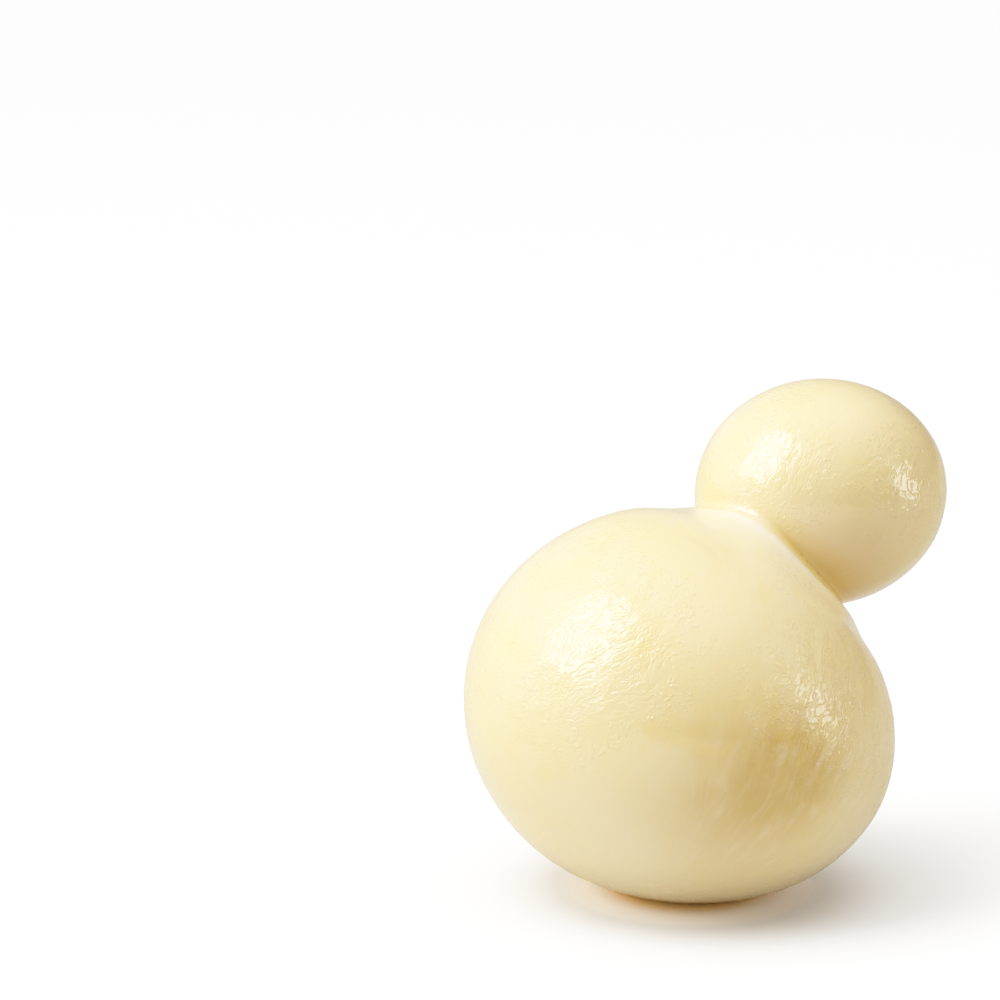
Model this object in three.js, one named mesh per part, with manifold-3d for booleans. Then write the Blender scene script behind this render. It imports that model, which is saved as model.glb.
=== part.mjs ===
// A scamorza: one piece of stretched-curd cheese, a large round body with a
// smaller round head pinched off it, lying tipped over so that the head leans
// to the right and away. Millimetres, +Z up, +X to the right, +Y away from the
// front. The origin is the middle of the small flat spot that it rests on.
import * as THREE from 'three';
import { mergeVertices } from 'three/addons/utils/BufferGeometryUtils.js';
import Module from 'manifold-3d';

// ---- driving dimensions, mm and degrees -----------------------------------

// Both lobes are described in the front plane: X to the right, Y up the plane
// and Z out of it. The plane leans back from the vertical by this much.
const FRONT_LEAN = 16.5;

// the body: half sizes of its oval, the turn of its long axis in the front
// plane, and two low waves round its girth that make it slightly three-sided
const BODY = {
  halfWidth: 40.47,
  halfHeight: 35.68,
  halfDepth: 39.0,
  roll: -24.17,
  wave3: 0.0212, // share of the radius, three waves round
  wave3At: -26.9, // where its first crest stands, degrees from the front plane's X
  wave4: 0.0039,
  wave4At: -13.3,
};

// the head, and where its middle stands from the body's middle
const HEAD = {
  halfWidth: 23.63,
  halfHeight: 21.31,
  halfDepth: 22.4,
  roll: 3.13,
  wave3: 0,
  wave3At: 0,
  wave4: 0,
  wave4At: 0,
};
const HEAD_RIGHT = 26.5;
const HEAD_UP = 40.88;
const HEAD_BACK = 11.08;

// the neck: the two lobes run into each other over this width, the body
// swells a little at the front of the neck, and round the neck it has a low
// collar with a shallow hollow outside it (angles from the neck's axis, seen
// from the body's middle)
const NECK_BLEND = 2.6;
const SHOULDER = { toward: [0.396, 0.89, 0.225], rise: 2.2, spread: 10 };
const COLLAR = { angle: 30.5, rise: 0.35, spread: 2.6 };
const HOLLOW = { angle: 39, rise: -0.35, spread: 4.2 };

// broad uneven places on the sides that don't face the front
const LUMPS = [
  { lobe: 'body', toward: [0.75, -0.25, -0.6], rise: 0.55, spread: 24 },
  { lobe: 'body', toward: [-0.45, 0.1, -0.88], rise: -0.6, spread: 26 },
  { lobe: 'body', toward: [-0.3, -0.7, -0.6], rise: 0.45, spread: 22 },
  { lobe: 'body', toward: [0.2, 0.55, -0.8], rise: -0.4, spread: 20 },
  { lobe: 'head', toward: [0.5, 0.2, -0.84], rise: 0.35, spread: 26 },
  { lobe: 'head', toward: [-0.55, 0.35, -0.75], rise: -0.35, spread: 28 },
];

// the flat spot: how much of the round underside the weight has pressed flat
const REST_DEPTH = 1.2;

// the mesh: meridians round the neck's axis, rings up the body and the head,
// and how much closer the rings stand at the neck
const MERIDIANS = 84;
const BODY_RINGS = 34;
const HEAD_RINGS = 20;
const NECK_CROWDING = 1.45;

// ---- the skin of each lobe ------------------------------------------------

const rad = THREE.MathUtils.degToRad;
const lean = rad(FRONT_LEAN);

// the front plane's own axes, in the part's frame
const frontRight = new THREE.Vector3(1, 0, 0);
const frontUp = new THREE.Vector3(0, Math.sin(lean), Math.cos(lean));
const frontOut = new THREE.Vector3(0, -Math.cos(lean), Math.sin(lean));
const frontToPart = new THREE.Matrix4().makeBasis(frontRight, frontUp, frontOut);
const partToFront = frontToPart.clone().transpose();

const headOffset = new THREE.Vector3(HEAD_RIGHT, HEAD_UP, -HEAD_BACK);
const neckAxis = headOffset.clone().normalize();

const bump = (cosine, spread) => Math.exp(-(1 - cosine) / rad(spread) ** 2);
const band = (angle, at, spread) => Math.exp(-0.5 * ((angle - at) / spread) ** 2);

function lumpsOf(lobe) {
  const list = LUMPS.filter((l) => l.lobe === lobe);
  if (lobe === 'body') list.push(SHOULDER);
  return list.map((l) => ({
    toward: new THREE.Vector3(...l.toward).normalize(),
    rise: l.rise,
    spread: l.spread,
  }));
}

// how far the skin of a lobe stands from the lobe's middle, along the unit
// direction d given in the front plane's axes
function makeLobe(size, lobe) {
  const c = Math.cos(rad(size.roll)), s = Math.sin(rad(size.roll));
  const lumps = lumpsOf(lobe);
  return (d) => {
    const a = (d.x * c + d.y * s) / size.halfWidth;
    const b = (d.y * c - d.x * s) / size.halfHeight;
    const e = d.z / size.halfDepth;
    let r = 1 / Math.sqrt(a * a + b * b + e * e);
    const girth = Math.hypot(d.x, d.y), turn = Math.atan2(d.y, d.x);
    r *= 1
      + size.wave3 * girth ** 3 * Math.cos(3 * (turn - rad(size.wave3At)))
      + size.wave4 * girth ** 4 * Math.cos(4 * (turn - rad(size.wave4At)));
    for (const l of lumps) r += l.rise * bump(d.dot(l.toward), l.spread);
    if (lobe === 'body') {
      const angle = THREE.MathUtils.radToDeg(Math.acos(THREE.MathUtils.clamp(d.dot(neckAxis), -1, 1)));
      r += COLLAR.rise * band(angle, COLLAR.angle, COLLAR.spread);
      r += HOLLOW.rise * band(angle, HOLLOW.angle, HOLLOW.spread);
    }
    return r;
  };
}
const bodySkin = makeLobe(BODY, 'body');
const headSkin = makeLobe(HEAD, 'head');

// signed distance outside each lobe, and outside the two blended at the neck;
// p is measured from the body's middle in the front plane's axes
const scratch = new THREE.Vector3();
function outside(skin, p, middle) {
  scratch.copy(p);
  if (middle) scratch.sub(middle);
  const n = scratch.length();
  return n - skin(scratch.divideScalar(n || 1));
}
function outsideBoth(p) {
  const fb = outside(bodySkin, p), fh = outside(headSkin, p, headOffset);
  const h = Math.max(NECK_BLEND - Math.abs(fb - fh), 0) / NECK_BLEND;
  return Math.min(fb, fh) - (h * h * NECK_BLEND) / 4;
}

// ---- meridians round the neck's axis --------------------------------------

// two directions square to the neck's axis
const sideA = new THREE.Vector3(0, 0, 1).cross(neckAxis).normalize();
const sideB = neckAxis.clone().cross(sideA);

const rayAt = (polar, turn) =>
  neckAxis.clone().multiplyScalar(Math.cos(polar))
    .addScaledVector(sideA, Math.sin(polar) * Math.cos(turn))
    .addScaledVector(sideB, Math.sin(polar) * Math.sin(turn));

function onLobe(skin, middle, polar, turn) {
  const d = rayAt(polar, turn);
  const p = d.clone().multiplyScalar(skin(d));
  return middle ? p.add(middle) : p;
}

// the polar angle at which the body's skin goes into the head, on one meridian
function neckPolar(turn) {
  let inHead = 0, clear = Math.PI / 2;
  for (let i = 0; i < 50; i++) {
    const mid = (inHead + clear) / 2;
    if (outside(headSkin, onLobe(bodySkin, null, mid, turn), headOffset) < 0) inHead = mid;
    else clear = mid;
  }
  return clear;
}

// moves a point out or in until it lies on the blended skin
function settle(p) {
  const h = 0.02, g = new THREE.Vector3(), q = new THREE.Vector3();
  for (let i = 0; i < 12; i++) {
    const f = outsideBoth(p);
    if (Math.abs(f) < 1e-5) break;
    g.set(
      outsideBoth(q.copy(p).setX(p.x + h)) - outsideBoth(q.copy(p).setX(p.x - h)),
      outsideBoth(q.copy(p).setY(p.y + h)) - outsideBoth(q.copy(p).setY(p.y - h)),
      outsideBoth(q.copy(p).setZ(p.z + h)) - outsideBoth(q.copy(p).setZ(p.z - h)),
    ).divideScalar(2 * h);
    p.addScaledVector(g, -f / Math.max(g.lengthSq(), 0.25));
  }
  return p;
}

// share of the way from the far pole (0) to the neck (1), with the rings
// closer together near the neck
const spaced = (u) => 1 - (1 - u) ** NECK_CROWDING;

// ---- the round form, turned on the neck's axis, then settled on the skin --

const profile = [];
const rings = BODY_RINGS + HEAD_RINGS;
for (let j = 0; j <= rings; j++) {
  const onBody = j <= BODY_RINGS;
  const u = onBody ? spaced(j / BODY_RINGS) : spaced((rings - j) / HEAD_RINGS);
  const size = onBody ? BODY : HEAD;
  const half = (size.halfWidth + size.halfHeight + size.halfDepth) / 3;
  const neck = Math.asin(Math.min(1, 16.8 / half));
  const polar = onBody ? Math.PI - u * (Math.PI - neck) : u * (Math.PI - neck);
  const r = j === 0 || j === rings ? 0 : half * Math.sin(polar);
  profile.push(new THREE.Vector2(r, half * Math.cos(polar) + (onBody ? 0 : headOffset.length())));
}

const turned = new THREE.LatheGeometry(profile, MERIDIANS);
const position = turned.attributes.position;
for (let i = 0; i <= MERIDIANS; i++) {
  const turn = ((i % MERIDIANS) / MERIDIANS) * 2 * Math.PI;
  const bodyNeck = neckPolar(turn);
  const crease = onLobe(bodySkin, null, bodyNeck, turn);
  const headNeck = crease.clone().sub(headOffset).angleTo(neckAxis);
  for (let j = 0; j <= rings; j++) {
    const onBody = j <= BODY_RINGS;
    const pole = j === 0 || j === rings;
    const u = onBody ? spaced(j / BODY_RINGS) : spaced((rings - j) / HEAD_RINGS);
    const polar = onBody ? Math.PI - u * (Math.PI - bodyNeck) : u * headNeck;
    const p = onBody
      ? onLobe(bodySkin, null, polar, pole ? 0 : turn)
      : onLobe(headSkin, headOffset, polar, pole ? 0 : turn);
    settle(p).applyMatrix4(frontToPart);
    position.setXYZ(i * (rings + 1) + j, p.x, p.y, p.z);
  }
}

// ---- stand it on its flat spot --------------------------------------------

// the lowest point of the body's skin, from the body's middle
const lowest = new THREE.Vector3(0, 0, 0);
const ray = new THREE.Vector3(), skinRay = new THREE.Vector3();
for (let tip = 0; tip <= 30; tip += 0.25) {
  for (let turn = 0; turn < 360; turn += 1) {
    ray.set(
      Math.sin(rad(tip)) * Math.cos(rad(turn)),
      Math.sin(rad(tip)) * Math.sin(rad(turn)),
      -Math.cos(rad(tip)),
    );
    skinRay.copy(ray).applyMatrix4(partToFront);
    const r = bodySkin(skinRay);
    if (ray.z * r < lowest.z) lowest.copy(ray).multiplyScalar(r);
  }
}
const stand = new THREE.Vector3(-lowest.x, -lowest.y, -lowest.z - REST_DEPTH);

// ---- one closed solid, cut off at the surface that it rests on ------------

const wasm = await Module();
wasm.setup();

function toSolid(geometry) {
  const bare = geometry.clone();
  bare.deleteAttribute('normal');
  bare.deleteAttribute('uv');
  const merged = mergeVertices(bare, 1e-4);
  const triVerts = [];
  for (let i = 0; i < merged.index.count; i += 3) {
    const [a, b, c] = [0, 1, 2].map((k) => merged.index.getX(i + k));
    if (a !== b && b !== c && c !== a) triVerts.push(a, b, c);
  }
  return new wasm.Manifold(new wasm.Mesh({
    numProp: 3,
    vertProperties: new Float32Array(merged.attributes.position.array),
    triVerts: new Uint32Array(triVerts),
  }));
}

turned.translate(stand.x, stand.y, stand.z);
const whole = toSolid(turned);
const under = new THREE.BoxGeometry(200, 200, 40).translate(0, 0, -20);
const rested = whole.subtract(toSolid(under)).getMesh();

const points = new Float32Array(rested.numVert * 3);
for (let i = 0; i < rested.numVert; i++) {
  points.set(rested.vertProperties.subarray(i * rested.numProp, i * rested.numProp + 3), i * 3);
}
const geometry = new THREE.BufferGeometry();
geometry.setAttribute('position', new THREE.BufferAttribute(points, 3));
geometry.setIndex(new THREE.BufferAttribute(new Uint32Array(rested.triVerts), 1));
geometry.computeVertexNormals();

// ---- the part -------------------------------------------------------------

const cheese = new THREE.Mesh(
  geometry,
  new THREE.MeshStandardMaterial({ color: '#efdfae', roughness: 0.34, metalness: 0 }),
);
cheese.name = 'cheese';

const group = new THREE.Group();
group.name = 'scamorza';
group.add(cheese);

export default group;
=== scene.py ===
import math

import bpy
import numpy as np
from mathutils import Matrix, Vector


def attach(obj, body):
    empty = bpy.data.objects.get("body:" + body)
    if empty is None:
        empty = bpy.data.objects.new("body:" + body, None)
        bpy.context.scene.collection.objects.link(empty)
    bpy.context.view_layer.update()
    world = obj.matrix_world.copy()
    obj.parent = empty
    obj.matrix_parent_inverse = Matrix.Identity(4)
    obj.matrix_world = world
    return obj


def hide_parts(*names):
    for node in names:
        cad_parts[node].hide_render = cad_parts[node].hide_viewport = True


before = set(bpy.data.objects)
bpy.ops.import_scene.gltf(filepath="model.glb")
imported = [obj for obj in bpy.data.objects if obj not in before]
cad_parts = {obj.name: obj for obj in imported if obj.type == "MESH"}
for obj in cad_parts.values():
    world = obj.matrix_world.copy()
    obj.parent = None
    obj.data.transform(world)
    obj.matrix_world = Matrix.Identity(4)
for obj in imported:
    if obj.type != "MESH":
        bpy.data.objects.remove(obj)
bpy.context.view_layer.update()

# A scamorza: a large round body of stretched curd with a smaller round head
# pinched off it. The CAD piece gives the form and the size. This script lays a
# finer skin over the same form, with its crinkles, fibres and colour.

# ---- named sizes, mm and degrees: the same form as the CAD piece -------------

FRONT_LEAN = 16.5
BODY = dict(w=40.47, h=35.68, d=39.0, roll=-24.17, wave3=0.0212, at3=-26.9, wave4=0.0039, at4=-13.3)
HEAD = dict(w=23.63, h=21.31, d=22.4, roll=3.13, wave3=0.0, at3=0.0, wave4=0.0, at4=0.0)
HEAD_FROM_BODY = np.array([26.5, 40.88, -11.08])
NECK_BLEND = 2.6
SHOULDER = ((0.396, 0.89, 0.225), 2.2, 10.0)
COLLAR = (30.5, 0.35, 2.6)
HOLLOW = (39.0, -0.35, 4.2)
BODY_LUMPS = [
    ((0.75, -0.25, -0.6), 0.55, 24.0),
    ((-0.45, 0.1, -0.88), -0.6, 26.0),
    ((-0.3, -0.7, -0.6), 0.45, 22.0),
    ((0.2, 0.55, -0.8), -0.4, 20.0),
]
HEAD_LUMPS = [
    ((0.5, 0.2, -0.84), 0.35, 26.0),
    ((-0.55, 0.35, -0.75), -0.35, 28.0),
]
REST_DEPTH = 1.2

# the finer skin: cells along each edge of the cube that it is wrapped from
CELLS = 128

_lean = math.radians(FRONT_LEAN)
FRONT = np.array([  # rows: right, up and out of the front plane
    [1.0, 0.0, 0.0],
    [0.0, math.sin(_lean), math.cos(_lean)],
    [0.0, -math.cos(_lean), math.sin(_lean)],
])


def unit(v):
    v = np.asarray(v, float)
    return v / np.linalg.norm(v)


NECK_AXIS = unit(HEAD_FROM_BODY)
SIDE_A = unit(np.cross([0.0, 0.0, 1.0], NECK_AXIS))
SIDE_B = np.cross(NECK_AXIS, SIDE_A)


# ---- the form ---------------------------------------------------------------

def lobe_radius(d, size, lumps, with_collar):
    """Distance from a lobe's middle to its skin along unit directions d, in the front plane's axes."""
    c, s = math.cos(math.radians(size["roll"])), math.sin(math.radians(size["roll"]))
    x, y, z = d[..., 0], d[..., 1], d[..., 2]
    a, b, e = (x * c + y * s) / size["w"], (y * c - x * s) / size["h"], z / size["d"]
    r = 1.0 / np.sqrt(a * a + b * b + e * e)
    w = x + 1j * y
    r = r * (
        1.0
        + size["wave3"] * np.real(w ** 3 * np.exp(-3j * math.radians(size["at3"])))
        + size["wave4"] * np.real(w ** 4 * np.exp(-4j * math.radians(size["at4"])))
    )
    for toward, rise, spread in lumps:
        r = r + rise * np.exp(-(1.0 - d @ unit(toward)) / math.radians(spread) ** 2)
    if with_collar:
        angle = np.degrees(np.arccos(np.clip(d @ NECK_AXIS, -1.0, 1.0)))
        for at, rise, spread in (COLLAR, HOLLOW):
            r = r + rise * np.exp(-0.5 * ((angle - at) / spread) ** 2)
    return r


def body_radius(d):
    return lobe_radius(d, BODY, BODY_LUMPS + [SHOULDER], True)


def head_radius(d):
    return lobe_radius(d, HEAD, HEAD_LUMPS, False)


def outside(radius, p):
    n = np.maximum(np.linalg.norm(p, axis=-1), 1e-9)
    return n - radius(p / n[..., None])


def outside_both(p):
    fb, fh = outside(body_radius, p), outside(head_radius, p - HEAD_FROM_BODY)
    h = np.maximum(NECK_BLEND - np.abs(fb - fh), 0.0) / NECK_BLEND
    return np.minimum(fb, fh) - h * h * NECK_BLEND / 4.0


def gradient(p, step=0.02):
    g = np.empty_like(p)
    for i in range(3):
        off = np.zeros(3)
        off[i] = step
        g[:, i] = (outside_both(p + off) - outside_both(p - off)) / (2 * step)
    return g


def settle(p):
    """Moves points out or in until they lie on the blended skin."""
    for _ in range(8):
        f = outside_both(p)
        todo = np.abs(f) > 1e-5
        if not todo.any():
            break
        q = p[todo]
        g = gradient(q)
        q = q - g * (f[todo] / np.maximum((g * g).sum(1), 0.25))[:, None]
        p[todo] = q
    return p


def ray_at(polar, turn):
    sp = np.sin(polar)
    return (
        np.cos(polar)[:, None] * NECK_AXIS
        + (sp * np.cos(turn))[:, None] * SIDE_A
        + (sp * np.sin(turn))[:, None] * SIDE_B
    )


def neck_angles(turn):
    """The polar angles of the neck's crease, seen from the body's and from the head's middle."""
    low, high = np.zeros_like(turn), np.full_like(turn, math.pi / 2)
    for _ in range(40):
        mid = (low + high) / 2
        d = ray_at(mid, turn)
        inside = outside(head_radius, d * body_radius(d)[:, None] - HEAD_FROM_BODY) < 0
        low, high = np.where(inside, mid, low), np.where(inside, high, mid)
    d = ray_at(high, turn)
    from_head = d * body_radius(d)[:, None] - HEAD_FROM_BODY
    from_head /= np.linalg.norm(from_head, axis=1)[:, None]
    return high, np.arccos(np.clip(from_head @ NECK_AXIS, -1.0, 1.0))


# ---- seeded lattice noise ---------------------------------------------------

def _hash(ix, iy, iz, seed):
    h = (
        ix.astype(np.uint32) * np.uint32(374761393)
        + iy.astype(np.uint32) * np.uint32(668265263)
        + iz.astype(np.uint32) * np.uint32(2246822519)
        + np.uint32((seed * 3266489917) & 0xFFFFFFFF)
    )
    h = (h ^ (h >> np.uint32(13))) * np.uint32(1274126177)
    h = (h ^ (h >> np.uint32(16))) * np.uint32(2654435761)
    return h ^ (h >> np.uint32(15))


def noise(p, seed=0):
    """Gradient noise, about -1 to 1, at points p."""
    base = np.floor(p)
    f = p - base
    i = base.astype(np.int64)
    u = f * f * f * (f * (f * 6 - 15) + 10)
    total = np.zeros(len(p))
    for dx in (0, 1):
        for dy in (0, 1):
            for dz in (0, 1):
                h = _hash(i[:, 0] + dx, i[:, 1] + dy, i[:, 2] + dz, seed)
                gx = (h & np.uint32(1023)).astype(float) / 511.5 - 1
                gy = ((h >> np.uint32(10)) & np.uint32(1023)).astype(float) / 511.5 - 1
                gz = ((h >> np.uint32(20)) & np.uint32(1023)).astype(float) / 511.5 - 1
                dot = gx * (f[:, 0] - dx) + gy * (f[:, 1] - dy) + gz * (f[:, 2] - dz)
                wx = u[:, 0] if dx else 1 - u[:, 0]
                wy = u[:, 1] if dy else 1 - u[:, 1]
                wz = u[:, 2] if dz else 1 - u[:, 2]
                total += dot * wx * wy * wz
    return total * 1.3


def fbm(p, seed=0, octaves=3, fall=0.5):
    total, amp = np.zeros(len(p)), 1.0
    for k in range(octaves):
        total += amp * noise(p * 2.03 ** k, seed + 17 * k)
        amp *= fall
    return total


def ridged(p, seed=0):
    """0 on most of the skin, rising to 1 along thin irregular lines."""
    return np.clip(1.0 - 3.2 * np.abs(noise(p, seed)), 0.0, 1.0) ** 2


def smooth(lo, hi, x):
    t = np.clip((x - lo) / (hi - lo), 0.0, 1.0)
    return t * t * (3 - 2 * t)


# ---- the skin's mesh --------------------------------------------------------

def cube_sphere(n):
    """Unit directions and quads of a cube wrapped on a sphere, with shared vertices."""
    t = np.tan(np.linspace(-1, 1, n + 1) * math.pi / 4)
    u, v = np.meshgrid(t, t, indexing="ij")
    one = np.ones_like(u)
    sides = [(one, u, v), (-one, v, u), (v, one, u), (u, -one, v), (u, v, one), (v, u, -one)]
    pts = np.concatenate([np.stack(s, -1).reshape(-1, 3) for s in sides])
    pts /= np.linalg.norm(pts, axis=1)[:, None]
    idx = np.arange((n + 1) ** 2).reshape(n + 1, n + 1)
    quad = np.stack([idx[:-1, :-1], idx[1:, :-1], idx[1:, 1:], idx[:-1, 1:]], -1).reshape(-1, 4)
    quads = np.concatenate([quad + k * (n + 1) ** 2 for k in range(6)])
    _, first, back = np.unique(np.round(pts, 7), axis=0, return_index=True, return_inverse=True)
    back = back.reshape(-1)
    return pts[first], back[quads]


def skin():
    dirs, quads = cube_sphere(CELLS)
    # the cube's own axes: Z along the neck's axis, towards the head
    along = np.arccos(np.clip(dirs[:, 2], -1, 1)) / math.pi
    turn = np.arctan2(dirs[:, 1], dirs[:, 0])
    grid = np.linspace(-math.pi, math.pi, 721)
    on_body, on_head = neck_angles(grid)
    body_neck, head_neck = np.interp(turn, grid, on_body), np.interp(turn, grid, on_head)
    share = 0.345  # the head's share of the way from pole to pole
    head = along < share
    polar = np.where(
        head,
        head_neck * along / share,
        body_neck + (math.pi - body_neck) * (along - share) / (1 - share),
    )
    d = ray_at(polar, turn)
    p = np.where(
        head[:, None],
        d * head_radius(d)[:, None] + HEAD_FROM_BODY,
        d * body_radius(d)[:, None],
    )
    return settle(p), quads, head, polar, turn


P, QUADS, IS_HEAD, POLAR, TURN = skin()
N = gradient(P)
N /= np.linalg.norm(N, axis=1)[:, None]

# how far each point is from the crease of the neck, as the two lobes' gap
NECK_GAP = np.abs(outside(body_radius, P) - outside(head_radius, P - HEAD_FROM_BODY))
AT_NECK = np.exp(-((NECK_GAP / 3.0) ** 2))

# The skin's own coordinates, mm. DRAWN has its third axis along the neck's, the
# way the curd was drawn: its fibres and most of its crinkles run that way. On
# the flank away from the head the crinkles lie flatter: ACROSS.
FLANK = unit((math.cos(math.radians(27)), math.sin(math.radians(27)), 0.05))


def along_axis(p, axis):
    a = unit(np.cross([0.12, 0.05, 1.0], axis))
    return np.stack([p @ a, p @ np.cross(axis, a), p @ axis], -1)


WARP = np.stack([fbm(P / 11.0, 31 + k, 2) for k in range(3)], -1) * 2.2
FINE_WARP = np.stack([fbm(P / 3.6, 61 + k, 2) for k in range(3)], -1) * 0.6
OFFSET = np.where(IS_HEAD, 90.0, 0.0)[:, None] * np.array([1.0, 0.6, 0.3])
ON_FLANK = np.where(IS_HEAD, 0.0, smooth(-12.0, 14.0, -(P @ unit((1.0, -0.15, 0.1))) + 2.0 * fbm(P / 14.0, 71, 2)))
GRAIN = P + WARP + FINE_WARP
GRAIN = (
    (1 - ON_FLANK)[:, None] * along_axis(GRAIN, NECK_AXIS)
    + ON_FLANK[:, None] * along_axis(GRAIN, FLANK)
    + OFFSET
)


def drawn(across, along, seed=0, octaves=2):
    """Noise in patches so many mm wide across the fibres and long along them."""
    return fbm(GRAIN / np.array([across, across, along]), seed, octaves)


def valleys(across, along, seed, sharp):
    """1 along thin irregular lines that run mostly along the fibres, 0 between them."""
    return np.clip(1.0 - sharp * np.abs(noise(GRAIN / np.array([across, across, along]), seed)), 0.0, 1.0)


def around(p, toward, wide):
    """1 on the skin towards a direction from a lobe's middle, falling off over so many degrees."""
    d = p / np.linalg.norm(p, axis=1)[:, None]
    return np.exp(-(1.0 - d @ unit(toward)) / math.radians(wide) ** 2)


# how crinkled the skin is: smooth, but for a few patches on each lobe and all
# round its back
FROM_HEAD = P - HEAD_FROM_BODY
wander = P + 2.4 * np.stack([fbm(P / 7.0, 101 + k, 2) for k in range(3)], -1)
wander_head = wander - HEAD_FROM_BODY
patches = np.where(
    IS_HEAD,
    np.maximum(around(wander_head, (-0.36, 0.28, 0.88), 22), around(wander_head, (0.66, 0.08, 0.74), 18)),
    np.maximum(around(wander, (-0.42, 0.31, 0.86), 19), around(wander, (0.70, 0.03, 0.71), 16)),
)
AT_BACK = smooth(0.14, -0.30, np.where(IS_HEAD, FROM_HEAD[:, 2] / 22.0, P[:, 2] / 38.0))
patches = np.maximum(patches, AT_BACK * (0.42 + 0.50 * smooth(-0.35, 0.40, fbm(P / 12.0, 51, 2))))
# both lobes are crinkled where they face right, left and up: for the head, then
# for the body
for much, head_toward, head_wide, toward, wide in (
    (0.72, (1.0, -0.02, 0.0), 16, (1.0, -0.10, 0.04), 14),
    (0.55, (-0.96, 0.14, 0.22), 16, (-0.93, 0.27, 0.23), 13),
    (0.55, (-0.41, 0.77, 0.51), 15, (-0.44, 0.76, 0.49), 12),
    (0.45, (0.72, 0.60, 0.36), 15, (0.58, 0.66, 0.49), 9),
):
    patches = np.maximum(patches, much * np.where(
        IS_HEAD, around(wander_head, head_toward, head_wide), around(wander, toward, wide),
    ))
WORKED = 0.11 + 0.89 * smooth(0.12, 0.80, patches + 0.10 * fbm(P / 4.0, 52, 2))
WORKED *= np.where(
    IS_HEAD,
    0.75 + 0.55 * around(wander_head, (0.66, 0.12, 0.74), 16),
    1.0 + 0.55 * around(wander, (0.68, 0.05, 0.73), 14),
)
# the drawn grain runs out in the crease
IN_CREASE = np.exp(-((NECK_GAP / 1.3) ** 2))
WORKED *= 1.0 - IN_CREASE
# tiny blisters lie in chains round the patches
BLISTERED = smooth(0.06, 0.30, patches) * smooth(0.95, 0.55, patches) * smooth(-0.30, 0.12, fbm(P / 4.0, 55, 2))
BLISTERED *= (1.0 - IN_CREASE) * (1.0 - 0.5 * AT_BACK)

# relief, mm
slow = fbm(P / 26.0, 3, 2) * (0.20 + 0.25 * AT_BACK)         # unevenly rounded
dimples = fbm(P / 8.0, 5, 2) * 0.045                         # soft hand-worked dimples
facets = drawn(1.35, 3.4, 7, 2) * 0.055                      # little flat facets
folds = -0.050 * valleys(2.1, 5.2, 41, 2.6) - 0.040 * valleys(2.6, 3.4, 44, 3.0)
RELIEF = slow + dimples + (facets + folds) * WORKED * (1 - 0.7 * AT_NECK)


def tuck(a, b, wide, deep):
    """A short soft furrow with a raised lip, between two directions from the body's middle."""
    a, b = unit(a) * 37.5, unit(b) * 37.5
    along = np.clip((P - a) @ (b - a) / ((b - a) @ (b - a)), 0, 1)
    bow = 0.9 * np.sin(along * math.pi)[:, None] * unit(np.cross(a, b))
    off = P - a - along[:, None] * (b - a) - bow
    far = np.linalg.norm(off - (off @ unit(a))[:, None] * unit(a), axis=1)
    side = off @ unit(np.cross(a, b))
    ends = np.sin(np.clip(along, 0.02, 0.98) * math.pi) ** 0.5
    return ends * (np.exp(-(((side + 1.6 * wide) / wide) ** 2) - (far / (4 * wide)) ** 2) * 0.6 - np.exp(-((far / wide) ** 2))) * deep


# the skin is tucked in under the neck, on the left of it
RELIEF += np.where(IS_HEAD, 0.0, tuck((0.02, 0.855, 0.52), (0.21, 0.73, 0.65), 1.1, 0.08))
RELIEF += np.where(IS_HEAD, 0.0, -0.45 * around(P, (0.27, 0.777, 0.57), 6.5))
# the two lobes must not grow into each other in the crease
RELIEF *= 1.0 - 0.96 * np.exp(-((NECK_GAP / 1.7) ** 2))

MIDDLE = P.copy()
P = P + N * RELIEF[:, None]

# ---- into the part's frame, and onto the flat spot --------------------------

tips, turns = np.meshgrid(np.arange(0, 30.1, 0.25), np.arange(0, 360, 1.0), indexing="ij")
tips, turns = np.radians(tips.ravel()), np.radians(turns.ravel())
down = np.stack([np.sin(tips) * np.cos(turns), np.sin(tips) * np.sin(turns), -np.cos(tips)], -1)
reach = down * body_radius(down @ FRONT.T)[:, None]
lowest = reach[np.argmin(reach[:, 2])]
STAND = np.array([-lowest[0], -lowest[1], -lowest[2] - REST_DEPTH])

W = P @ FRONT + STAND
# pressed flat where it rests, with a soft edge
soft = 0.5
z = W[:, 2]
h = np.maximum(soft - np.abs(z), 0.0) / soft
W[:, 2] = np.maximum(z, 0.0) + h * h * soft / 4.0
W[:, 2] = np.where(z < -soft, 0.0, W[:, 2])

mesh = bpy.data.meshes.new("curd")
mesh.vertices.add(len(W))
mesh.vertices.foreach_set("co", (W / 1000.0).ravel())
mesh.loops.add(QUADS.size)
mesh.loops.foreach_set("vertex_index", QUADS.ravel().astype(np.int32))
mesh.polygons.add(len(QUADS))
mesh.polygons.foreach_set("loop_start", np.arange(0, QUADS.size, 4, dtype=np.int32))
mesh.polygons.foreach_set("loop_total", np.full(len(QUADS), 4, dtype=np.int32))
mesh.update(calc_edges=True)
mesh.validate()
mesh.shade_smooth()


def point_vector(name, values):
    a = mesh.attributes.new(name, "FLOAT_VECTOR", "POINT")
    a.data.foreach_set("vector", np.asarray(values, np.float32).ravel())


def point_value(name, values):
    a = mesh.attributes.new(name, "FLOAT", "POINT")
    a.data.foreach_set("value", np.asarray(values, np.float32).ravel())


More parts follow.
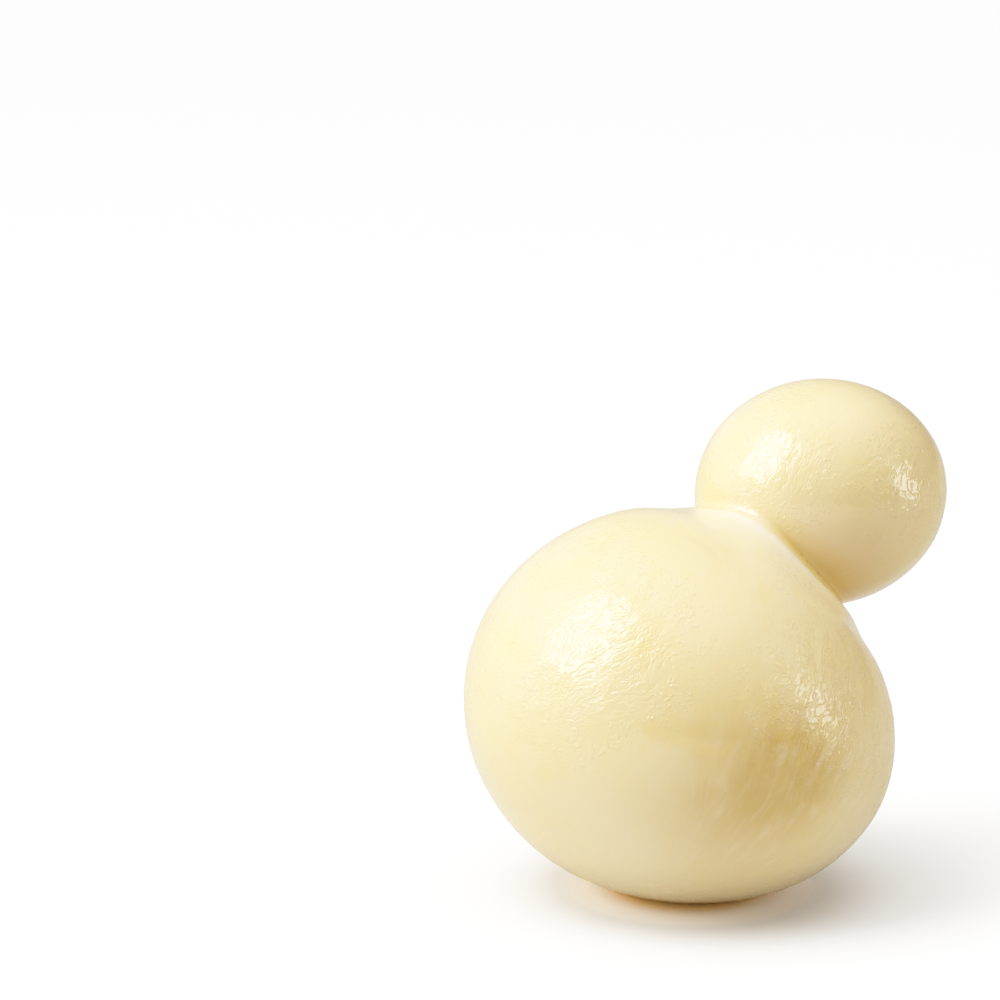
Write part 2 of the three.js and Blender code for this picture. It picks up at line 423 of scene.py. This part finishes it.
# places of painted shade, painted light and the curd's own colour, as directions
# from a lobe's middle in the front plane's axes, half-widths in degrees
wobble = P + 3.0 * np.stack([fbm(P / 9.0, 81 + k, 2) for k in range(3)], -1)
on_body = np.where(IS_HEAD, 0.0, 1.0)
# painted shade: a tan cast where the light falls off, low on the flank, round the right edges and by the neck
PAINTED_SHADE = on_body * (
    0.88 * around(wobble, (0.36, -0.37, 0.86), 12)
    + 0.76 * around(wobble, (0.59, -0.24, 0.77), 10)
    + 0.10 * around(wobble, (0.70, 0.03, 0.71), 11)
    + 0.34 * around(wobble, (0.97, 0.0, 0.25), 16)
    + 0.30 * around(wobble, (0.82, 0.33, 0.47), 12)
    + 0.20 * around(wobble, (0.26, -0.66, 0.70), 15)
)
# painted shade: the head's underside, over the neck, is painted the yellowest, as the shade of the crease
from_head = FROM_HEAD / np.linalg.norm(FROM_HEAD, axis=1)[:, None]
PAINTED_SHADE += (1 - on_body) * smooth(86.0, 38.0, np.degrees(np.arccos(np.clip(from_head @ -NECK_AXIS, -1, 1)))) * (
    0.07 + 0.54 * smooth(-0.2, 0.75, from_head @ unit((0.8, -0.6, 0.1)))
)
# more painted shade on the head: its right edge and low on its front
PAINTED_SHADE += (1 - on_body) * 0.34 * smooth(0.3, 1.0, from_head @ unit((0.95, -0.15, 0.25)))
PAINTED_SHADE += (1 - on_body) * 0.14 * around(FROM_HEAD, (0.30, -0.40, 0.87), 14)
# painted light: a whiter collar where the body catches the light, and whiter low places lit from the floor
neck_polar = np.degrees(POLAR)
uneven = neck_polar + 1.5 * fbm(P / 6.0, 91, 2)
PAINTED_LIGHT = on_body * np.maximum.reduce([np.exp(-(((uneven - 31.5) / 5.0) ** 2)), 0.45 * np.exp(-(((uneven - 36.0) / 13.0) ** 2)), 0.35 * around(P, (-0.30, -0.78, 0.55), 22), 0.18 * around(P, (0.72, -0.65, 0.25), 14)])
PAINTED_LIGHT *= 1.0 - 0.55 * smooth(21.0, 30.0, P[:, 0]) * smooth(-5.0, 8.0, P[:, 1])
# round the back the painted light on the collar is fainter, and broken up
PAINTED_LIGHT *= 1.0 - smooth(0.30, -0.10, P[:, 2] / 38.0) * (0.45 + 0.45 * smooth(-0.25, 0.30, fbm(P / 8.0, 95, 2)))
# painted light on the head, where less light falls on it
PAINTED_LIGHT += (1 - on_body) * (
    0.12 * around(FROM_HEAD, (0.02, -0.10, 0.99), 17) + 0.22 * around(FROM_HEAD, (-0.42, -0.24, 0.87), 14)
)
# the curd's own whiter fibres down the flank
STREAKY = on_body * np.maximum(around(P, (0.66, -0.33, 0.69), 24), around(P, (0.60, 0.45, 0.66), 16))
STREAKY = (0.2 + 0.8 * STREAKY * smooth(-0.45, 0.35, fbm(P / 5.0, 111, 2))) * (1.0 - IN_CREASE)
# the crease's far side is drier, with less coat, and is painted amber there as the shade of the crevice
SIDE = smooth(15.0, 22.0, P[:, 0]) * np.exp(-((NECK_GAP / 2.2) ** 2))
# how wet the skin is: most on the head, least at the edge that faces right
MOIST = (
    0.46 + 0.10 * (1 - on_body) - 0.38 * SIDE
    - 0.22 * on_body * smooth(11.0, 18.0, P[:, 0]) * np.exp(-((NECK_GAP / 4.5) ** 2)) * (1 - SIDE)
    - 0.18 * on_body * around(P, (1.0, 0.0, 0.1), 26)
    - 0.14 * (1 - on_body) * smooth(0.75, 1.0, from_head @ unit((0.95, -0.15, 0.1)))
)
# a few thin yellow veins and spots in the middle of the body
VEINS = ridged(GRAIN / np.array([6.0, 6.0, 11.0]), 121) * smooth(0.05, 0.45, fbm(P / 9.0, 123, 2))
SPOTS = smooth(0.50, 0.75, noise(P / 1.6, 125)) * smooth(0.0, 0.4, fbm(P / 6.0, 127, 2))
VEINS = np.clip(0.8 * VEINS + SPOTS, 0, 1) * (0.35 + 0.65 * around(P, (0.05, 0.1, 0.99), 30))

# drawn lines that run down the skin from near the neck, mm
LINE_POLE = unit((0.25, 0.95, -0.10))
ROUND = 38.0
lines = along_axis(P / np.linalg.norm(P, axis=1)[:, None], LINE_POLE)
line_turn = np.arctan2(lines[:, 1], lines[:, 0])
lines = np.stack([np.cos(line_turn), np.sin(line_turn), np.arccos(np.clip(lines[:, 2], -1, 1))], -1) * ROUND
lines = lines + 0.55 * WARP + FINE_WARP + OFFSET

point_vector("grain", GRAIN)
point_vector("lines", lines)
point_vector("skin", MIDDLE)
point_value("worked", WORKED)
point_value("blistered", BLISTERED)
point_value("painted_shade", np.clip(PAINTED_SHADE, 0, 1))
point_value("painted_light", np.clip(PAINTED_LIGHT, 0, 1))
point_value("streaky", np.clip(STREAKY, 0, 1))
point_value("dry_and_shaded", np.clip(SIDE, 0, 1))
point_value("veins", VEINS)
point_value("moist", MOIST)

curd = bpy.data.objects.new("curd", mesh)
bpy.context.scene.collection.objects.link(curd)
# the faces must turn outwards
if sum((p.normal.dot(p.center - Vector((0, 0, 0.04))) for p in mesh.polygons[:64])) < 0:
    mesh.flip_normals()

# ---- the curd's material ----------------------------------------------------


def colour(r, g, b):
    """An sRGB colour as the renderer's linear one."""
    def lin(c):
        c /= 255.0
        return c / 12.92 if c <= 0.04045 else ((c + 0.055) / 1.055) ** 2.4
    return (lin(r), lin(g), lin(b), 1.0)


def curd_material():
    m = bpy.data.materials.new("curd")
    m.use_nodes = True
    nt = m.node_tree
    nt.nodes.clear()

    def node(kind, **props):
        n = nt.nodes.new(kind)
        for k, v in props.items():
            setattr(n, k, v)
        return n

    def link(a, b):
        nt.links.new(a, b)

    out = node("ShaderNodeOutputMaterial")
    bsdf = node("ShaderNodeBsdfPrincipled")
    link(bsdf.outputs["BSDF"], out.inputs["Surface"])

    def attribute(name, socket):
        return node("ShaderNodeAttribute", attribute_name=name).outputs[socket]

    skin_at, grain_at, lines_at = (attribute(n, "Vector") for n in ("skin", "grain", "lines"))
    worked, blistered, painted_shade, painted_light, streaky, dry_and_shaded, veins = (
        attribute(n, "Fac") for n in ("worked", "blistered", "painted_shade", "painted_light", "streaky", "dry_and_shaded", "veins")
    )

    def scaled(vec, k, shift=(0, 0, 0)):
        mp = node("ShaderNodeMapping")
        link(vec, mp.inputs["Vector"])
        mp.inputs["Scale"].default_value = (k, k, k) if isinstance(k, (int, float)) else k
        mp.inputs["Location"].default_value = shift
        return mp.outputs["Vector"]

    def noise_of(vec, detail=3.0, rough=0.5, dist=0.0):
        n = node("ShaderNodeTexNoise", noise_dimensions="3D")
        link(vec, n.inputs["Vector"])
        n.inputs["Scale"].default_value = 1.0
        n.inputs["Detail"].default_value = detail
        n.inputs["Roughness"].default_value = rough
        n.inputs["Distortion"].default_value = dist
        return n.outputs["Fac"]

    def ramp(fac, *stops):
        r = node("ShaderNodeValToRGB")
        link(fac, r.inputs["Fac"])
        el = r.color_ramp.elements
        el[0].position, el[0].color = stops[0][0], (*[stops[0][1]] * 3, 1)
        el[1].position, el[1].color = stops[-1][0], (*[stops[-1][1]] * 3, 1)
        for pos, val in stops[1:-1]:
            e = el.new(pos)
            e.color = (val, val, val, 1)
        return r.outputs["Color"]

    def math_of(op, a, b=None, c=None):
        n = node("ShaderNodeMath", operation=op)
        for i, v in enumerate((a, b, c)):
            if v is None:
                continue
            if isinstance(v, (int, float)):
                n.inputs[i].default_value = v
            else:
                link(v, n.inputs[i])
        return n.outputs[0]

    def times(*v):
        out = v[0]
        for w in v[1:]:
            out = math_of("MULTIPLY", out, w)
        return out

    def plus(*v):
        out = v[0]
        for w in v[1:]:
            out = math_of("ADD", out, w)
        return out

    def blend(fac, a, b):
        n = node("ShaderNodeMix", data_type="FLOAT")
        for sock, v in ((n.inputs[0], fac), (n.inputs[2], a), (n.inputs[3], b)):
            if isinstance(v, (int, float)):
                sock.default_value = v
            else:
                link(v, sock)
        return n.outputs[0]

    def mixed(fac, a, b):
        n = node("ShaderNodeMix", data_type="RGBA", blend_type="MIX")
        for sock, v in ((n.inputs[0], fac), (n.inputs[6], a), (n.inputs[7], b)):
            if isinstance(v, (int, float, tuple)):
                sock.default_value = v
            else:
                link(v, sock)
        return n.outputs[2]

    # colour: cream, with whiter drawn fibres, cloudy yellower places and a few thin yellow
    # veins; painted shade as a tan cast and an amber crease, painted light as a whiter collar
    cream = (0.93, 0.735, 0.395, 1)
    milky = (0.955, 0.805, 0.55, 1)
    butter = (0.92, 0.72, 0.335, 1)
    # tan: the colour of the painted shade
    tan = (0.715, 0.475, 0.10, 1)
    # the colour of the painted shade in the crease's far side
    shade_amber = (0.86, 0.60, 0.12, 1)
    # the colour of the painted light on the collar and the low rim
    lit_white = (0.98, 0.88, 0.70, 1)
    yolk = (0.92, 0.67, 0.22, 1)
    cloud = noise_of(scaled(skin_at, 1 / 14.0), 2, 0.55)
    streak = noise_of(scaled(lines_at, (1 / 1.4, 1 / 1.4, 1 / 8.5)), 2, 0.5)
    c = mixed(ramp(cloud, (0.40, 0.0), (0.66, 0.7)), cream, butter)
    c = mixed(ramp(cloud, (0.26, 0.08), (0.44, 0.0)), c, milky)
    # painted shade: tan where the light falls off
    c = mixed(times(painted_shade, 0.88), c, tan)
    c = mixed(times(ramp(streak, (0.42, 0.0), (0.68, 0.42)), streaky), c, milky)
    # painted light: a whiter collar and lower rim
    c = mixed(times(painted_light, 0.9), c, lit_white)
    # painted shade: amber in the crease's far side
    c = mixed(times(dry_and_shaded, 0.75), c, shade_amber)
    c = mixed(times(veins, 0.45), c, yolk)
    link(c, bsdf.inputs["Base Color"])

    # fine relief, mm: creases between the facets, a fine grain and tiny blisters
    line = noise_of(scaled(grain_at, (1 / 1.25, 1 / 1.25, 1 / 3.6)), 2, 0.55)
    crease = ramp(math_of("ABSOLUTE", math_of("SUBTRACT", line, 0.5)), (0.0, 1.0), (0.03, 0.35), (0.085, 0.0))
    fine = noise_of(scaled(skin_at, 1 / 0.72, (2, 9, 4)), 1, 0.5)
    blister = ramp(fine, (0.55, 0.0), (0.66, 1.0))
    height = plus(
        times(crease, worked, -0.05),
        times(fine, math_of("MULTIPLY_ADD", worked, 0.016, 0.008)),
        times(blister, blistered, 0.055),
    )

    # gloss: a moist skin, a little duller over the creases
    link(math_of("MULTIPLY_ADD", crease, 0.08, 0.20), bsdf.inputs["Roughness"])

    bump = node("ShaderNodeBump")
    bump.inputs["Strength"].default_value = 1.0
    bump.inputs["Distance"].default_value = 0.001
    link(height, bump.inputs["Height"])
    link(bump.outputs["Normal"], bsdf.inputs["Normal"])
    link(bump.outputs["Normal"], bsdf.inputs["Coat Normal"])

    bsdf.inputs["IOR"].default_value = 1.45
    bsdf.inputs["Specular IOR Level"].default_value = 0.2
    link(attribute("moist", "Fac"), bsdf.inputs["Coat Weight"])
    bsdf.inputs["Coat Roughness"].default_value = 0.06
    bsdf.inputs["Coat IOR"].default_value = 2.2
    bsdf.subsurface_method = "RANDOM_WALK"
    bsdf.inputs["Subsurface Weight"].default_value = 0.3
    bsdf.inputs["Subsurface Radius"].default_value = (1.0, 0.75, 0.42)
    bsdf.inputs["Subsurface Scale"].default_value = 0.003
    return m


mesh.materials.append(curd_material())

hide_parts("cheese")
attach(curd, "root")

# ---- floor, light and camera ------------------------------------------------

floor_mesh = bpy.data.meshes.new("floor")
ring = [(4.0 * math.cos(2 * math.pi * i / 96), 4.0 * math.sin(2 * math.pi * i / 96), 0.0) for i in range(96)]
floor_mesh.from_pydata(ring, [], [list(range(96))])
floor = bpy.data.objects.new("floor", floor_mesh)
bpy.context.scene.collection.objects.link(floor)
fm = bpy.data.materials.new("floor")
fm.use_nodes = True
ft = fm.node_tree
ft.nodes.clear()
f_out = ft.nodes.new("ShaderNodeOutputMaterial")
f_bsdf = ft.nodes.new("ShaderNodeBsdfDiffuse")
f_path = ft.nodes.new("ShaderNodeLightPath")
f_mix = ft.nodes.new("ShaderNodeMix")
f_mix.data_type = "RGBA"
# it looks burnt out to white, but throws back less light than that would
f_mix.inputs[6].default_value = (0.6, 0.6, 0.6, 1)
f_mix.inputs[7].default_value = (1.2, 1.2, 1.2, 1)
# round the foot of the cheese it throws back more; the camera sees a painted
# shadow there, and painted warm and amber light for the light through the curd's edge
f_where = ft.nodes.new("ShaderNodeTexCoord")
f_far = ft.nodes.new("ShaderNodeVectorMath")
f_far.operation = "LENGTH"
ft.links.new(f_where.outputs["Object"], f_far.inputs[0])


def near(close, away, low, high):
    """A colour close to the foot, metres, and the floor's own one away from it."""
    share = ft.nodes.new("ShaderNodeMapRange")
    share.interpolation_type = "SMOOTHSTEP"
    ft.links.new(f_far.outputs["Value"], share.inputs["Value"])
    share.inputs["From Min"].default_value = low
    share.inputs["From Max"].default_value = high
    m = ft.nodes.new("ShaderNodeMix")
    m.data_type = "RGBA"
    ft.links.new(share.outputs["Result"], m.inputs[0])
    m.inputs[6].default_value = close
    if isinstance(away, tuple):
        m.inputs[7].default_value = away
    else:
        ft.links.new(away, m.inputs[7])
    return m.outputs[2]


ft.links.new(near((0.76, 0.75, 0.71, 1), (0.6, 0.6, 0.6, 1), 0.028, 0.085), f_mix.inputs[6])
# painted shadow: the floor the camera sees is darker close to the foot
ft.links.new(near((1.02, 1.03, 1.07, 1), (1.23, 1.23, 1.23, 1), 0.030, 0.078), f_mix.inputs[7])
# painted shadow round the foot
shaded = near((0.86, 0.85, 0.84, 1), (1.0, 1.0, 1.0, 1), 0.024, 0.042)
# painted light: the shadow lifted and warmed next to the foot
warm = near((1.32, 1.26, 1.22, 1), shaded, 0.017, 0.026)
# painted glow: amber light right at the foot
painted_glow = near((1.56, 1.20, 0.62, 1), warm, 0.0125, 0.0175)
f_warm = ft.nodes.new("ShaderNodeMix")
f_warm.data_type = "RGBA"
f_warm.blend_type = "MULTIPLY"
f_warm.inputs[0].default_value = 1.0
ft.links.new(f_mix.outputs[2], f_warm.inputs[6])
ft.links.new(painted_glow, f_warm.inputs[7])
ft.links.new(f_warm.outputs[2], f_bsdf.inputs["Color"])
ft.links.new(f_path.outputs["Is Camera Ray"], f_mix.inputs[0])
ft.links.new(f_bsdf.outputs[0], f_out.inputs["Surface"])
floor_mesh.materials.append(fm)

scene = bpy.context.scene


def studio(lobes):
    """A smooth sky: lobes of white light, each (direction, strength, how narrow)."""
    world = bpy.data.worlds.new("studio")
    scene.world = world
    world.use_nodes = True
    wt = world.node_tree
    wt.nodes.clear()

    def node(kind, **props):
        n = wt.nodes.new(kind)
        for k, v in props.items():
            setattr(n, k, v)
        return n

    out = node("ShaderNodeOutputWorld")
    mix = node("ShaderNodeMixShader")
    lit, seen = node("ShaderNodeBackground"), node("ShaderNodeBackground")
    path, where = node("ShaderNodeLightPath"), node("ShaderNodeTexCoord")
    total = None
    for toward, strength, narrow in lobes:
        dot = node("ShaderNodeVectorMath", operation="DOT_PRODUCT")
        wt.links.new(where.outputs["Generated"], dot.inputs[0])
        dot.inputs[1].default_value = tuple(unit(toward))
        half = node("ShaderNodeMath", operation="MULTIPLY_ADD")
        wt.links.new(dot.outputs["Value"], half.inputs[0])
        half.inputs[1].default_value = half.inputs[2].default_value = 0.5
        power = node("ShaderNodeMath", operation="POWER")
        wt.links.new(half.outputs[0], power.inputs[0])
        power.inputs[1].default_value = narrow
        add = node("ShaderNodeMath", operation="MULTIPLY_ADD")
        wt.links.new(power.outputs[0], add.inputs[0])
        add.inputs[1].default_value = strength
        if total is None:
            add.inputs[2].default_value = 0.02
        else:
            wt.links.new(total, add.inputs[2])
        total = add.outputs[0]
    lit.inputs["Color"].default_value = (1, 1, 1, 1)
    wt.links.new(total, lit.inputs["Strength"])
    seen.inputs["Color"].default_value = (1, 1, 1, 1)
    seen.inputs["Strength"].default_value = 2.0
    wt.links.new(path.outputs["Is Camera Ray"], mix.inputs[0])
    wt.links.new(lit.outputs[0], mix.inputs[1])
    wt.links.new(seen.outputs[0], mix.inputs[2])
    wt.links.new(mix.outputs[0], out.inputs["Surface"])


studio([
    ((0, 0, 1), 1.40, 6.0),
    ((-1, 0, 0.1), 1.18, 6.0),
    ((-0.8, -0.1, 0.6), 0.45, 6.0),
    ((0.8, 0, 0.6), 0.36, 6.0),
    ((0.7, 0.7, 0.3), 0.10, 6.0),
    ((-0.35, 0.93, 0.1), 0.70, 20.0),
])

BODY_MIDDLE = Vector(STAND / 1000.0)


def softbox(name, toward, distance, size, radiance):
    """An area light at a distance from the body's middle; radiance is what its face shows."""
    light = bpy.data.lights.new(name, "AREA")
    light.shape = "RECTANGLE"
    light.size, light.size_y = size
    light.energy = radiance * math.pi * size[0] * size[1]
    o = bpy.data.objects.new(name, light)
    d = Vector(unit(toward))
    o.location = BODY_MIDDLE + d * distance
    o.rotation_mode = "QUATERNION"
    o.rotation_quaternion = d.to_track_quat("Z", "Y")
    scene.collection.objects.link(o)
    o.visible_camera = False
    return o


softbox("key", (-0.67, -0.264, 0.694), 0.75, (0.44, 0.62), 4.3)
softbox("side", (0.97, -0.10, 0.215), 0.80, (0.25, 0.34), 3.6)

CAMERA_DISTANCE = 1.0
PIXEL = 0.185e-3  # metres to a pixel at the body's middle
BODY_AT = (676.6, 709.1)  # where the body's middle stands in the 1000 x 1000 frame


def make_camera():
    data = bpy.data.cameras.new("camera")
    o = bpy.data.objects.new("camera", data)
    scene.collection.objects.link(o)
    focal = CAMERA_DISTANCE / PIXEL  # in pixels
    data.sensor_width = 36.0
    data.sensor_fit = "HORIZONTAL"
    data.lens = focal / 1000.0 * 36.0
    o.location = BODY_MIDDLE + Vector(FRONT[2]) * CAMERA_DISTANCE
    yaw, pitch = 0.0, _lean
    want = (BODY_AT[0] - 500.0, 500.0 - BODY_AT[1])
    to_body = (BODY_MIDDLE - o.location).normalized()
    for _ in range(40):  # turn until the body's middle lands on its pixel
        ahead = Vector((math.sin(yaw) * math.cos(pitch), math.cos(yaw) * math.cos(pitch), -math.sin(pitch)))
        right = Vector((math.cos(yaw), -math.sin(yaw), 0))
        up = right.cross(ahead)
        got = (focal * to_body.dot(right) / to_body.dot(ahead), focal * to_body.dot(up) / to_body.dot(ahead))
        yaw -= (want[0] - got[0]) / focal
        pitch -= (want[1] - got[1]) / focal * -1.0
    o.rotation_mode = "QUATERNION"
    o.rotation_quaternion = ahead.to_track_quat("-Z", "Y")
    data.clip_start, data.clip_end = 0.01, 30.0
    return o


scene.camera = make_camera()

# the view: a plain transform with the soft shoulder of a photograph
TONE_STRAIGHT, TONE_WHITE = 0.5, 1.6
view = scene.view_settings
view.view_transform = "Standard"
view.look = "None"
view.exposure = 0.0
view.gamma = 1.0
view.use_curve_mapping = True
tone = view.curve_mapping
tone.black_level = (0.0, 0.0, 0.0)
tone.white_level = (TONE_WHITE,) * 3
tone.extend = "HORIZONTAL"
curve = tone.curves[3]
bend = (TONE_WHITE - TONE_STRAIGHT) / (1 - TONE_STRAIGHT)
steps = [TONE_STRAIGHT * k / 3 for k in range(1, 4)]
steps += [TONE_STRAIGHT + (TONE_WHITE - TONE_STRAIGHT) * k / 10 for k in range(1, 10)]
curve.points[0].location = (0.0, 0.0)
curve.points[-1].location = (1.0, 1.0)
for x in steps:
    t = max(x - TONE_STRAIGHT, 0.0) / (TONE_WHITE - TONE_STRAIGHT)
    y = min(x, TONE_STRAIGHT) + (1 - TONE_STRAIGHT) * (1 - (1 - t) ** bend if t > 0 else 0.0)
    curve.points.new(x / TONE_WHITE, y)
tone.update()
